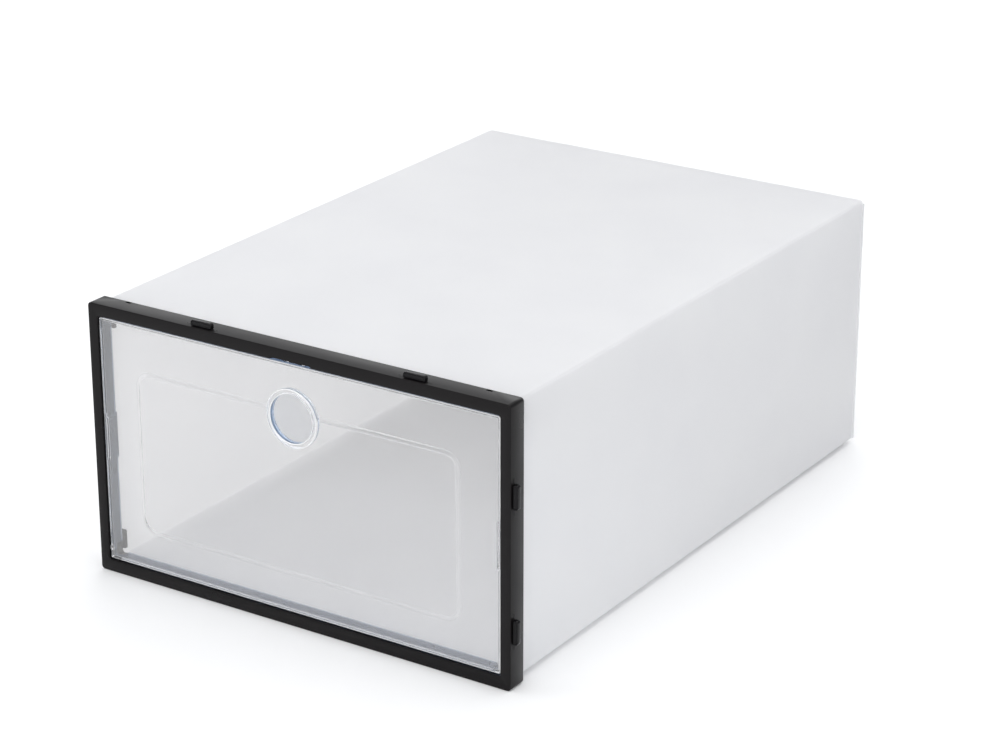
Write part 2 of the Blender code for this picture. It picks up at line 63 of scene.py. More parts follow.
MM = 0.001
SAME = 0.01 * MM
SEAM = math.radians(2)  # two faces that meet at less than this lie in one plane
SQUARE_ON = 0.9  # a face looks along an axis where its normal's part on it passes this

frame_low, frame_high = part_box("front_frame")
FRONT = frame_low.y
BACK_OF_FRAME = frame_high.y
MIDDLE = (frame_low.x + frame_high.x) / 2
SIDE_BAR = 5.2 * MM
LEVEL_BAR = 6.0 * MM
OUTER_RADIUS = 1.8 * MM
OPENING_RADIUS = 1.2 * MM
FRONT_EDGE = 0.45 * MM
BACK_EDGE = 0.25 * MM
SMALL_EDGE = 0.2 * MM
OVER = 1.0 * MM  # how far a cutter passes the face it opens
BITE = 0.5 * MM  # how far a joined piece reaches into what carries it


def deselect():
    if bpy.context.object and bpy.context.object.mode == "EDIT":
        bpy.ops.object.mode_set(mode="OBJECT")
    bpy.ops.object.select_all(action="DESELECT")


def open_edit(piece, kind="FACE"):
    """Puts a piece in edit mode with nothing selected."""
    deselect()
    piece.select_set(True)
    bpy.context.view_layer.objects.active = piece
    bpy.ops.object.mode_set(mode="EDIT")
    bpy.ops.mesh.select_mode(type=kind)
    bpy.ops.mesh.select_all(action="DESELECT")


def close_edit():
    bpy.ops.object.mode_set(mode="OBJECT")


def pick_faces(piece, test):
    """Selects the faces whose middle and normal pass the test."""
    shape = bmesh.from_edit_mesh(piece.data)
    for face in shape.faces:
        face.select_set(test(face.calc_center_median(), face.normal))
    bmesh.update_edit_mesh(piece.data)


def pick_edges(piece, test, least_angle=0.0):
    """Selects the edges whose two ends pass the test and whose faces meet at the angle or more."""
    shape = bmesh.from_edit_mesh(piece.data)
    for edge in shape.edges:
        bent = edge.calc_face_angle(math.pi) >= least_angle
        edge.select_set(bent and test(edge.verts[0].co, edge.verts[1].co))
    bmesh.update_edit_mesh(piece.data)


def block(name, low, high):
    """A cube primitive that fills the space between two corners."""
    low, high = Vector(low), Vector(high)
    deselect()
    bpy.ops.mesh.primitive_cube_add(size=1, location=(low + high) / 2, scale=high - low)
    piece = bpy.context.object
    piece.name = piece.data.name = name
    bpy.ops.object.transform_apply()
    return piece


def along(axis):
    """A test for edges that run along an axis: 0 is X, 1 is Y, 2 is Z."""
    others = [n for n in range(3) if n != axis]
    return lambda a, b: all(abs(a[n] - b[n]) < SAME for n in others)


def on_plane(axis, place):
    """A test for edges that lie on a plane square to an axis."""
    return lambda a, b: abs(a[axis] - place) < SAME and abs(b[axis] - place) < SAME


def round_edges(piece, test, radius, segments=3):
    """Rounds the edges that pass the test, but not a seam between two faces in one plane."""
    open_edit(piece, "EDGE")
    pick_edges(piece, test, SEAM)
    bpy.ops.mesh.bevel(offset=radius, segments=segments, affect="EDGES", clamp_overlap=False)
    close_edit()
    return piece


def combine(piece, tool, operation):
    boolean = piece.modifiers.new(operation.lower(), "BOOLEAN")
    boolean.object = tool
    boolean.operation = operation
    deselect()
    bpy.context.view_layer.objects.active = piece
    bpy.ops.object.modifier_apply(modifier=boolean.name)
    bpy.data.objects.remove(tool)
    return piece


def cut(piece, tool):
    return combine(piece, tool, "DIFFERENCE")


def join(piece, tool):
    return combine(piece, tool, "UNION")


def smooth(piece, degrees=32):
    deselect()
    piece.select_set(True)
    bpy.context.view_layer.objects.active = piece
    bpy.ops.object.shade_smooth_by_angle(angle=math.radians(degrees))


def mirrored(low, high, side):
    """A box's corners as given for the right side, on the right side (1) or the left (-1) of the middle."""
    xs = sorted((MIDDLE + side * low[0], MIDDLE + side * high[0]))
    return (xs[0], low[1], low[2]), (xs[1], high[1], high[2])


half_width = (frame_high.x - frame_low.x) / 2
opening_half = half_width - SIDE_BAR
opening_low = frame_low.z + LEVEL_BAR
opening_high = frame_high.z - LEVEL_BAR

front_frame = block("moulded_front_frame", frame_low, frame_high)
round_edges(front_frame, along(1), OUTER_RADIUS, 6)
opening = block(
    "opening",
    (MIDDLE - opening_half, FRONT - OVER, opening_low),
    (MIDDLE + opening_half, BACK_OF_FRAME + OVER, opening_high),
)
cut(front_frame, round_edges(opening, along(1), OPENING_RADIUS, 4))
round_edges(front_frame, on_plane(1, FRONT), FRONT_EDGE)
round_edges(front_frame, on_plane(1, BACK_OF_FRAME), BACK_EDGE, 2)

# the groove that takes the sheet, as wide as the sheet with a gap on each side
SHEET = 0.8 * MM
SHEET_GAP = 0.3 * MM
GROOVE_DEPTH = 3.0 * MM
sheet_low = Vector((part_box("left_wall")[0].x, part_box("floor_panel")[0].y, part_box("floor_panel")[0].z))
sheet_high = Vector((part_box("right_wall")[1].x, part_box("top_panel")[1].y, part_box("top_panel")[1].z))
gap = Vector((SHEET_GAP, 0, SHEET_GAP))
wall = Vector((SHEET + SHEET_GAP, 0, SHEET + SHEET_GAP))
groove_front = BACK_OF_FRAME - GROOVE_DEPTH


def at_depth(point, y):
    return (point.x, y, point.z)


groove = block(
    "groove",
    at_depth(sheet_low - gap, groove_front),
    at_depth(sheet_high + gap, BACK_OF_FRAME + OVER),
)
core = block(
    "core",
    at_depth(sheet_low + wall, groove_front - OVER),
    at_depth(sheet_high - wall, BACK_OF_FRAME + 2 * OVER),
)
cut(front_frame, cut(groove, core))

# corner stops behind the closed door
STOP_REACH = 3.0 * MM
STOP_THICKNESS = 1.7 * MM
UPPER_STOP_HEIGHT = 8 * MM
LOWER_STOP_LOW = 9 * MM
LOWER_STOP_HEIGHT = 9 * MM
STOP_EDGE = 0.3 * MM

stop_levels = [
    (opening_high - UPPER_STOP_HEIGHT, opening_high + BITE),
    (frame_low.z + LOWER_STOP_LOW, frame_low.z + LOWER_STOP_LOW + LOWER_STOP_HEIGHT),
]
for side in (-1, 1):
    for stop_low, stop_high in stop_levels:
        low, high = mirrored(
            (opening_half - STOP_REACH, BACK_OF_FRAME - STOP_THICKNESS, stop_low),
            (opening_half + BITE, BACK_OF_FRAME, stop_high),
            side,
        )
        stop = block("stop", low, high)
        free_x = MIDDLE + side * (opening_half - STOP_REACH)
        join(front_frame, round_edges(stop, on_plane(0, free_x), STOP_EDGE, 2))

# detent ribs on the side bars, each chamfered at its foot
DETENT_MIDDLE = 67.5 * MM
DETENT_HEIGHT = 17 * MM
DETENT_REACH = 1.1 * MM
DETENT_DEPTH = (3.0 * MM, 8.0 * MM)
DETENT_EDGE = 0.35 * MM

detent_low = frame_low.z + DETENT_MIDDLE - DETENT_HEIGHT / 2
detent_high = detent_low + DETENT_HEIGHT
for side in (-1, 1):
    low, high = mirrored(
        (opening_half - DETENT_REACH, FRONT + DETENT_DEPTH[0], detent_low),
        (opening_half + BITE, FRONT + DETENT_DEPTH[1], detent_high),
        side,
    )
    rib = block("rib", low, high)
    free_x = MIDDLE + side * (opening_half - DETENT_REACH)
    join(front_frame, round_edges(rib, on_plane(0, free_x), DETENT_EDGE, 3))

# latch nub in a shallow notch of the top bar
NOTCH_HALF = 11.1 * MM
NOTCH_DEPTH = 1.0 * MM
NUB_ROOT_HALF = 4.65 * MM
NUB_TIP_SHARE = 0.71
NUB_DROP = 1.4 * MM
NUB_DEPTH = (4.0 * MM, 8.0 * MM)

cut(
    front_frame,
    block(
        "notch",
        (MIDDLE - NOTCH_HALF, FRONT - OVER, opening_high - OVER),
        (MIDDLE + NOTCH_HALF, BACK_OF_FRAME + OVER, opening_high + NOTCH_DEPTH),
    ),
)
nub = block(
    "nub",
    (MIDDLE - NUB_ROOT_HALF, FRONT + NUB_DEPTH[0], opening_high - NUB_DROP),
    (MIDDLE + NUB_ROOT_HALF, FRONT + NUB_DEPTH[1], opening_high + NOTCH_DEPTH + BITE),
)
open_edit(nub)
pick_faces(nub, lambda middle, normal: normal.z < -SQUARE_ON)
bpy.ops.transform.resize(value=(NUB_TIP_SHARE, 1, 1), center_override=(MIDDLE, FRONT, opening_high))
close_edit()
round_edges(nub, on_plane(2, opening_high - NUB_DROP), SMALL_EDGE, 2)
join(front_frame, nub)

# blind sockets for the door's pins
PIN_RADIUS = 1.5 * MM
PIN_CLEARANCE = 0.1 * MM
PIN_LENGTH = 2.4 * MM
PIN_SIDES = 40
HINGE_FROM_FRONT = 2.5 * MM
HINGE_ABOVE_BAR = 5.6 * MM
hinge_y = FRONT + HINGE_FROM_FRONT
hinge_z = opening_low + HINGE_ABOVE_BAR


def round_bar(name, middle, radius, length, axis, sides):
    """A cylinder primitive that lies along an axis, 0 for X or 1 for Y."""
    turn = (0, math.pi / 2, 0) if axis == 0 else (math.pi / 2, 0, 0)
    deselect()
    bpy.ops.mesh.primitive_cylinder_add(
        vertices=sides, radius=radius, depth=length, location=middle, rotation=turn
    )
    piece = bpy.context.object
    piece.name = piece.data.name = name
    bpy.ops.object.transform_apply()
    return piece


DOOR_SIDE_GAP = 0.5 * MM
door_half = opening_half - DOOR_SIDE_GAP
socket_end = door_half + PIN_LENGTH + SHEET_GAP
socket_start = opening_half - OVER
for side in (-1, 1):
    socket_middle = (MIDDLE + side * (socket_start + socket_end) / 2, hinge_y, hinge_z)
    socket = round_bar(
        "socket", socket_middle, PIN_RADIUS + PIN_CLEARANCE, socket_end - socket_start, 0, PIN_SIDES
    )
    cut(front_frame, socket)

# slots underneath and on the left that take a neighbour's clips
CLIP_RISE = 2.8 * MM
CLIP_HEAD = (11.4 * MM, 2.4 * MM)
CLIP_BASE = (17.2 * MM, 1.4 * MM)
CLIP_BASE_RISE = 0.9 * MM
CLIP_FIT = 0.3 * MM
SLOT_CLEARANCE = 0.35 * MM

clip_boxes = {
    name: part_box(name)
    for name in ("top_clip_left", "top_clip_right", "side_clip_lower", "side_clip_upper")
}
clip_y = (clip_boxes["top_clip_left"][0].y + clip_boxes["top_clip_left"][1].y) / 2


def clip_middle(name):
    low, high = clip_boxes[name]
    return (low + high) / 2


def slot_block(name, size, depth):
    """The cutter for a slot opposite to the named clip."""
    middle = clip_middle(name)
    half = size[0] / 2 + SLOT_CLEARANCE
    front = clip_y - size[1] / 2 - SLOT_CLEARANCE
    back = clip_y + size[1] / 2 + SLOT_CLEARANCE
    if name.startswith("top"):
        return block(
            "slot", (middle.x - half, front, frame_low.z - OVER), (middle.x + half, back, frame_low.z + depth)
        )
    return block(
        "slot", (frame_low.x - OVER, front, middle.z - half), (frame_low.x + depth, back, middle.z + half)
    )


for name in clip_boxes:
    cut(front_frame, slot_block(name, CLIP_HEAD, CLIP_RISE + SLOT_CLEARANCE))
    cut(front_frame, slot_block(name, CLIP_BASE, CLIP_BASE_RISE + SLOT_CLEARANCE))

# snap windows in the top bar, over the barbs that hold the sheet
WINDOW_FROM_SIDE = 16.5 * MM
WINDOW_LENGTH = 3.0 * MM
WINDOW_WIDTH = 1.4 * MM
WINDOW_FROM_BACK = 0.6 * MM
for side in (-1, 1):
    middle_x = half_width - WINDOW_FROM_SIDE
    low, high = mirrored(
        (middle_x - WINDOW_LENGTH / 2, BACK_OF_FRAME - WINDOW_FROM_BACK - WINDOW_WIDTH, sheet_high.z),
        (middle_x + WINDOW_LENGTH / 2, BACK_OF_FRAME - WINDOW_FROM_BACK, frame_high.z + OVER),
        side,
    )
    cut(front_frame, block("window", low, high))

smooth(front_frame)


def add_node(tree, kind, inputs=None, **settings):
    """Adds a node, sets it, and gives each named input a value or a link from another node's output."""
    made = tree.nodes.new(kind)
    for setting, value in settings.items():
        setattr(made, setting, value)
    for socket, value in (inputs or {}).items():
        if isinstance(value, bpy.types.NodeSocket):
            tree.links.new(value, made.inputs[socket])
        else:
            made.inputs[socket].default_value = value
    return made


def colour(code):
    """An sRGB hex colour as linear red, green, blue and alpha."""
    parts = [int(code[i : i + 2], 16) / 255 for i in (1, 3, 5)]
    return [p / 12.92 if p <= 0.04045 else ((p + 0.055) / 1.055) ** 2.4 for p in parts] + [1.0]


def new_material(name):
    """A material with one Principled shader, its node tree and its output."""
    material = bpy.data.materials.new(name)
    material.use_nodes = True
    tree = material.node_tree
    return material, tree, tree.nodes["Principled BSDF"]


def grain_scale(spacing):
    """The noise scale whose grains are about that many metres apart."""
    return 1 / spacing


# Moulded ABS, black: a satin face from a fine spark-eroded mould, slightly polished where hands and
# neighbouring boxes rub it. The grain is about 0.3 mm, drawn at 0.5 mm so that it shows.
WEAR = 0.05  # how far the roughness strays from its mean where the moulding is rubbed


def black_plastic(name, shade, dull, grain_height):
    """A moulding between two shades, with a mean roughness and the height of its grain."""
    material, tree, shader = new_material(name)
    place = add_node(tree, "ShaderNodeTexCoord").outputs["Object"]
    cloud = add_node(
        tree,
        "ShaderNodeTexNoise",
        {"Vector": place, "Scale": grain_scale(38 * MM), "Detail": 3.0},
    )
    rub = add_node(
        tree,
        "ShaderNodeMapRange",
        {
            "Value": cloud.outputs["Fac"],
            "From Min": 0.35,
            "From Max": 0.65,
            "To Min": dull - WEAR,
            "To Max": dull + WEAR,
        },
    )
    tree.links.new(rub.outputs["Result"], shader.inputs["Roughness"])
    tint = add_node(
        tree,
        "ShaderNodeMix",
        {"Factor": cloud.outputs["Fac"], "A": colour(shade[0]), "B": colour(shade[1])},
        data_type="RGBA",
    )
    tree.links.new(tint.outputs["Result"], shader.inputs["Base Color"])
    grain = add_node(
        tree,
        "ShaderNodeTexNoise",
        {"Vector": place, "Scale": grain_scale(0.5 * MM), "Detail": 2.0},
    )
    bump = add_node(
        tree,
        "ShaderNodeBump",
        {"Height": grain.outputs["Fac"], "Strength": 0.35, "Distance": grain_height},
    )
    tree.links.new(bump.outputs["Normal"], shader.inputs["Normal"])
    shader.inputs["IOR"].default_value = 1.53
    shader.inputs["Specular IOR Level"].default_value = 0.15
    return material


def dress(piece, material, body, slot, *nodes):
    """Gives a piece its one material, its body and the nodes that it stands for."""
    piece.data.materials.clear()
    piece.data.materials.append(material)
    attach(piece, body)
    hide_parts(*nodes)


satin_black = black_plastic("satin_black_abs", ("#0e0c0d", "#131112"), 0.32, 0.02 * MM)
dress(front_frame, satin_black, "box", "frame_plastic", "front_frame")

# ---------------------------------------------------------------- stacking clips
# Four thin snap heads stand on the top and right bars and catch in the neighbour's slots. Each is a glossy
# black moulding pushed into a socket: rounded outer corners, a lip round both faces, and a low rib at each
# end that runs out to a point.

HEAD_CORNER = 1.2 * MM
HEAD_LIP = 0.45 * MM
HEAD_HOLLOW = 0.25 * MM
HEAD_EDGE = 0.15 * MM
BASE_TIP_SHARE = 0.15

gloss_black = black_plastic("gloss_black_abs", ("#0e0d0f", "#131214"), 0.2, 0.006 * MM)


def stacking_clip(name):
    """A clip modelled lying along X on top of a bar, and turned onto the right side if it belongs there."""
    middle = clip_middle(name)
    is_top = name.startswith("top")
    base = frame_high.z
    half, depth = CLIP_HEAD[0] / 2, CLIP_HEAD[1] / 2
    head = block(
        name + "_moulding",
        (MIDDLE - half, clip_y - depth, base + CLIP_FIT),
        (MIDDLE + half, clip_y + depth, base + CLIP_RISE),
    )
    round_edges(head, lambda a, b: along(1)(a, b) and on_plane(2, base + CLIP_RISE)(a, b), HEAD_CORNER, 6)
    open_edit(head)
    pick_faces(head, lambda point, normal: abs(normal.y) > SQUARE_ON)
    bpy.ops.mesh.inset(thickness=HEAD_LIP, depth=0, use_individual=True)
    bpy.ops.mesh.inset(thickness=HEAD_HOLLOW, depth=-HEAD_HOLLOW, use_individual=True)
    close_edit()
    outer_faces = (clip_y - depth, clip_y + depth)
    round_edges(head, lambda a, b: any(on_plane(1, y)(a, b) for y in outer_faces), HEAD_EDGE, 2)
    rib_half, rib_depth = CLIP_BASE[0] / 2, CLIP_BASE[1] / 2
    rib = block(
        "rib",
        (MIDDLE - rib_half, clip_y - rib_depth, base + CLIP_FIT),
        (MIDDLE + rib_half, clip_y + rib_depth, base + CLIP_BASE_RISE),
    )
    for end in (-1, 1):
        open_edit(rib)
        pick_faces(rib, lambda point, normal: normal.x * end > SQUARE_ON)
        bpy.ops.transform.resize(
            value=(1, BASE_TIP_SHARE, BASE_TIP_SHARE), center_override=(MIDDLE, clip_y, base + CLIP_FIT)
        )
        close_edit()
    join(head, rib)
    deselect()
    head.select_set(True)
    bpy.context.view_layer.objects.active = head
    if is_top:
        head.location.x = middle.x - MIDDLE
    else:
        head.rotation_euler.y = math.pi / 2
        head.location = (frame_high.x - base, 0, middle.z + MIDDLE)
    bpy.ops.object.transform_apply()
    smooth(head, 40)
    dress(head, gloss_black, "box", "clip_plastic", name)


for name in clip_boxes:
    stacking_clip(name)

# ---------------------------------------------------------------- folded sheet
# The body is one sheet of frosted polypropylene, 0.8 mm thick, folded round the four walls along scored
# creases. Its front edge sits in the frame's groove, and its top runs on over the rear crease into a flap.

CREASE_RADIUS = 1.5 * MM
SHEET_STEPS = 40
ACROSS_STEPS = 22
TOP_BULGE = 1.1 * MM
WALL_BULGE = 0.5 * MM
SWELL_POWER = 1.4
sheet_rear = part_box("left_wall")[1].y
flap_low, flap_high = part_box("top_flap")
rear_low, rear_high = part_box("rear_panel")
sheet_half = (sheet_high.x - sheet_low.x) / 2

sleeve = block("folded_sheet_body", sheet_low, (sheet_high.x, sheet_rear, sheet_high.z))
open_edit(sleeve)
pick_faces(sleeve, lambda point, normal: abs(normal.y) > SQUARE_ON)
bpy.ops.mesh.delete(type="FACE")
close_edit()
round_edges(sleeve, along(1), CREASE_RADIUS, 6)
open_edit(sleeve, "EDGE")
pick_edges(sleeve, along(1))
bpy.ops.mesh.subdivide(number_cuts=SHEET_STEPS)
bpy.ops.mesh.select_all(action="DESELECT")
flat_half = sheet_half - CREASE_RADIUS - SAME
pick_edges(sleeve, lambda a, b: along(0)(a, b) and abs(a.x - b.x) > flat_half)
bpy.ops.mesh.subdivide(number_cuts=ACROSS_STEPS)
bpy.ops.mesh.select_all(action="DESELECT")
pick_edges(sleeve, lambda a, b: along(2)(a, b) and abs(a.z - b.z) > 0.5 * (sheet_high.z - sheet_low.z))
bpy.ops.mesh.subdivide(number_cuts=ACROSS_STEPS)
close_edit()


def swell(share):
    """From 0 at both ends to 1 in the middle."""
    return math.sin(math.pi * min(max(share, 0.0), 1.0)) ** SWELL_POWER


for vertex in sleeve.data.vertices:
    point = vertex.co
    length_share = (point.y - sheet_low.y) / (sheet_rear - sheet_low.y)
    across = (point.x - sheet_low.x) / (2 * sheet_half)
    up = (point.z - sheet_low.z) / (sheet_high.z - sheet_low.z)
    if abs(point.z - sheet_high.z) < SAME:
        point.z += TOP_BULGE * swell(across) * swell(length_share)
    elif abs(abs(point.x - MIDDLE) - sheet_half) < SAME:
        outwards = 1 if point.x > MIDDLE else -1
        point.x += outwards * WALL_BULGE * swell(up) * swell(length_share)

# the rear flap, turned down over the crease, and the floor's short end
REAR_CREASE = flap_high.y - sheet_rear
open_edit(sleeve, "EDGE")
pick_edges(
    sleeve,
    lambda a, b: on_plane(1, sheet_rear)(a, b) and on_plane(2, sheet_high.z)(a, b),
)
bpy.ops.mesh.spin(
    steps=5,
    angle=math.pi / 2,
    center=(MIDDLE, sheet_rear, sheet_high.z - REAR_CREASE),
    axis=(1, 0, 0),
)
bpy.ops.mesh.extrude_region_move(
    TRANSFORM_OT_translate={"value": (0, 0, flap_low.z - (sheet_high.z - REAR_CREASE))}
)
bpy.ops.mesh.select_all(action="DESELECT")
pick_edges(
    sleeve,
    lambda a, b: on_plane(1, sheet_rear)(a, b) and on_plane(2, sheet_low.z)(a, b),
)
floor_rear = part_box("floor_panel")[1].y
bpy.ops.mesh.extrude_region_move(TRANSFORM_OT_translate={"value": (0, floor_rear - sheet_rear, 0)})
bpy.ops.mesh.select_all(action="SELECT")
bpy.ops.mesh.remove_doubles(threshold=SAME)
bpy.ops.mesh.normals_make_consistent(inside=False)
close_edit()


def thicken(piece):
    """Gives an open sheet its thickness, inwards from its outer face."""
    solidify = piece.modifiers.new("thickness", "SOLIDIFY")
    solidify.thickness = SHEET
    solidify.offset = -1
    solidify.use_even_offset = True
    deselect()
    bpy.context.view_layer.objects.active = piece
    bpy.ops.object.modifier_apply(modifier=solidify.name)


thicken(sleeve)
TONGUE_HALF = 30 * MM
TONGUE_CLEARANCE = 1.5 * MM
TONGUE_DIP = 1.0 * MM
slit_low = flap_high.z - SHEET - TONGUE_DIP - TONGUE_CLEARANCE
slit = block(
    "slit",
    (MIDDLE - TONGUE_HALF - TONGUE_CLEARANCE, flap_low.y - OVER, slit_low),
    (MIDDLE + TONGUE_HALF + TONGUE_CLEARANCE, flap_high.y + OVER, flap_high.z),
)
cut(sleeve, slit)
smooth(sleeve, 40)


# Frosted polypropylene, extruded: a milky white sheet with a fine matt emboss, about 0.4 mm, drawn at 0.7 mm
# so that it shows. The whole sheet lets a little over a third of the light through.
LIGHT_THROUGH = 0.6  # at each of its two faces


def frosted_sheet():
    material, tree, shader = new_material("frosted_polypropylene")
    output = tree.nodes["Material Output"]
    place = add_node(tree, "ShaderNodeTexCoord").outputs["Object"]
    cloud = add_node(
        tree, "ShaderNodeTexNoise", {"Vector": place, "Scale": grain_scale(45 * MM), "Detail": 2.0}
    )
    tint = add_node(
        tree,
        "ShaderNodeMix",
        {"Factor": cloud.outputs["Fac"], "A": colour("#f5f5f6"), "B": colour("#fafafa")},
        data_type="RGBA",
    )
    tree.links.new(tint.outputs["Result"], shader.inputs["Base Color"])
    shader.inputs["Roughness"].default_value = 0.42
    shader.inputs["IOR"].default_value = 1.49
    emboss = add_node(
        tree, "ShaderNodeTexNoise", {"Vector": place, "Scale": grain_scale(0.7 * MM), "Detail": 2.0}
    )
    bump = add_node(
        tree, "ShaderNodeBump", {"Height": emboss.outputs["Fac"], "Strength": 0.3, "Distance": 0.03 * MM}
    )
    tree.links.new(bump.outputs["Normal"], shader.inputs["Normal"])
    through = add_node(
        tree,
        "ShaderNodeBsdfTranslucent",
        {"Color": tint.outputs["Result"], "Normal": bump.outputs["Normal"]},
    )
    both = add_node(
        tree,
        "ShaderNodeMixShader",
        {0: LIGHT_THROUGH, 1: shader.outputs["BSDF"], 2: through.outputs["BSDF"]},
    )
    tree.links.new(both.outputs["Shader"], output.inputs["Surface"])
    return material


frosted = frosted_sheet()
dress(
    sleeve, frosted, "box", "frosted_sheet", "floor_panel", "left_wall", "right_wall", "top_panel", "top_flap"
)

# ---------------------------------------------------------------- rear panel
# The floor's own end folds up as the outer back wall, and its tongue tucks through the slit under the top.

TONGUE_RADIUS = 1.0 * MM
TONGUE_LENGTH = 11 * MM
FLOOR_CREASE = 0.7 * MM


def plate(name, low, high):
    """An upright plane primitive, facing back, that fills a rectangle of X and Z at one Y."""
    low, high = Vector(low), Vector(high)
    deselect()
    bpy.ops.mesh.primitive_plane_add(size=1, location=(low + high) / 2, rotation=(-math.pi / 2, 0, 0))
    piece = bpy.context.object
    piece.name = piece.data.name = name
    piece.scale = (high.x - low.x, high.z - low.z, 1)
    bpy.ops.object.transform_apply()
    return piece


rear_panel = plate(
    "rear_panel_with_tongue",
    (MIDDLE - TONGUE_HALF, rear_high.y, rear_low.z),
    (MIDDLE + TONGUE_HALF, rear_high.y, rear_high.z - TONGUE_RADIUS),
)
for side in (-1, 1):
    open_edit(rear_panel, "EDGE")
    pick_edges(rear_panel, on_plane(0, MIDDLE + side * TONGUE_HALF))
    bpy.ops.mesh.extrude_region_move(
        TRANSFORM_OT_translate={"value": (side * (sheet_half - TONGUE_HALF), 0, 0)}
    )
    close_edit()
open_edit(rear_panel, "EDGE")
pick_edges(
    rear_panel,
    lambda a, b: on_plane(2, rear_high.z - TONGUE_RADIUS)(a, b) and abs(a.x + b.x - 2 * MIDDLE) < SAME,
)
bpy.ops.mesh.spin(
    steps=5,
    angle=-math.pi / 2,
    center=(MIDDLE, rear_high.y - TONGUE_RADIUS, rear_high.z - TONGUE_RADIUS),
    axis=(1, 0, 0),
)
bpy.ops.mesh.extrude_region_move(
    TRANSFORM_OT_translate={"value": (0, TONGUE_RADIUS - TONGUE_LENGTH, -TONGUE_DIP)}
)
bpy.ops.mesh.select_all(action="SELECT")
bpy.ops.mesh.remove_doubles(threshold=SAME)
bpy.ops.mesh.normals_make_consistent(inside=False)
close_edit()
thicken(rear_panel)
round_edges(
    rear_panel,
    lambda a, b: on_plane(1, rear_high.y)(a, b) and on_plane(2, rear_low.z)(a, b),
    FLOOR_CREASE,
    4,
)
smooth(rear_panel, 40)
dress(rear_panel, frosted, "back", "frosted_sheet", "rear_panel")

# ---------------------------------------------------------------- dust flaps
# Behind the walls, each side's own end folds inwards as a flap, tapered and rounded so that it slides past
# the top flap. They show faintly through the back.

FLAP_FLAT = 26 * MM
FLAP_TAPER = 12.5 * MM
FLAP_CORNER = 6.0 * MM


def dust_flap(node, body, side):
    low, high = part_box(node)
    flap = plate(node + "_sheet", (low.x, high.y, low.z), (high.x, high.y, high.z))
    crease_x = high.x if side > 0 else low.x
    free_x = low.x if side > 0 else high.x
    open_edit(flap)
    bpy.ops.mesh.select_all(action="SELECT")
    bpy.ops.mesh.bisect(plane_co=(crease_x - side * FLAP_FLAT, 0, 0), plane_no=(1, 0, 0))
    bpy.ops.mesh.select_all(action="DESELECT")
    close_edit()
    open_edit(flap, "EDGE")
    pick_edges(flap, on_plane(0, free_x))
    share = 1 - 2 * FLAP_TAPER / (high.z - low.z)
    bpy.ops.transform.resize(value=(1, 1, share), center_override=(free_x, high.y, (low.z + high.z) / 2))
    close_edit()
    open_edit(flap, "VERT")
    shape = bmesh.from_edit_mesh(flap.data)
    for vertex in shape.verts:
        vertex.select_set(abs(vertex.co.x - free_x) < SAME)
    bmesh.update_edit_mesh(flap.data)
    bpy.ops.mesh.bevel(offset=FLAP_CORNER, segments=8, affect="VERTICES", clamp_overlap=False)
    close_edit()
    thicken(flap)
    smooth(flap, 40)
    dress(flap, frosted, body, "frosted_sheet", node)


dust_flap("left_dust_flap", "left_flap", -1)
dust_flap("right_dust_flap", "right_flap", 1)

# ---------------------------------------------------------------- drop door
# The door is a clear moulding that swings down on two pins near its foot: a thin panel with a rim all
# round, a raised field with rounded corners, and a ring round the hole that a finger pulls it by.

DOOR_RECESS = 0.6 * MM
DOOR_PANEL = 1.4 * MM
DOOR_DEPTH = 8.0 * MM
RIM_WALL = 1.2 * MM
DOOR_TOP_GAP = 0.6 * MM
DOOR_BOTTOM_GAP = 0.7 * MM
DOOR_CORNER = 1.0 * MM
DOOR_INNER_CORNER = 0.6 * MM
DOOR_FRONT_EDGE = 0.6 * MM
DOOR_EDGE = 0.4 * MM
RIM_TIP_EDGE = 0.3 * MM

door_low = opening_low + DOOR_BOTTOM_GAP
door_high = opening_high - DOOR_TOP_GAP
door_front = FRONT + DOOR_RECESS
door_inside = door_front + DOOR_PANEL
door_back = door_front + DOOR_DEPTH

door = block(
    "clear_drop_door",
    (MIDDLE - door_half, door_front, door_low),
    (MIDDLE + door_half, door_back, door_high),
)
open_edit(door)
pick_faces(door, lambda point, normal: normal.y > SQUARE_ON)
bpy.ops.mesh.inset(thickness=RIM_WALL, depth=0)
bpy.ops.mesh.extrude_region_move(TRANSFORM_OT_translate={"value": (0, door_inside - door_back, 0)})
close_edit()
on_outside = on_plane(0, MIDDLE - door_half), on_plane(0, MIDDLE + door_half)
round_edges(door, lambda a, b: along(1)(a, b) and any(test(a, b) for test in on_outside), DOOR_CORNER, 5)
on_inside = on_plane(0, MIDDLE - door_half + RIM_WALL), on_plane(0, MIDDLE + door_half - RIM_WALL)
round_edges(door, lambda a, b: along(1)(a, b) and any(test(a, b) for test in on_inside), DOOR_INNER_CORNER, 4)
round_edges(door, on_plane(1, door_front), DOOR_FRONT_EDGE, 4)
round_edges(door, on_plane(1, door_back), RIM_TIP_EDGE, 3)
round_edges(door, on_plane(1, door_inside), DOOR_EDGE, 3)

# the raised field, stepped forward at the same thickness
FIELD_FROM_SIDE = 26 * MM
FIELD_LOW = 25 * MM
FIELD_HIGH = 106 * MM
FIELD_RADIUS = 8 * MM
FIELD_STEPS = ((0.4 * MM, 0.06 * MM), (1.4 * MM, 0.38 * MM), (0.4 * MM, 0.06 * MM))  # width, rise
field_half = half_width - FIELD_FROM_SIDE


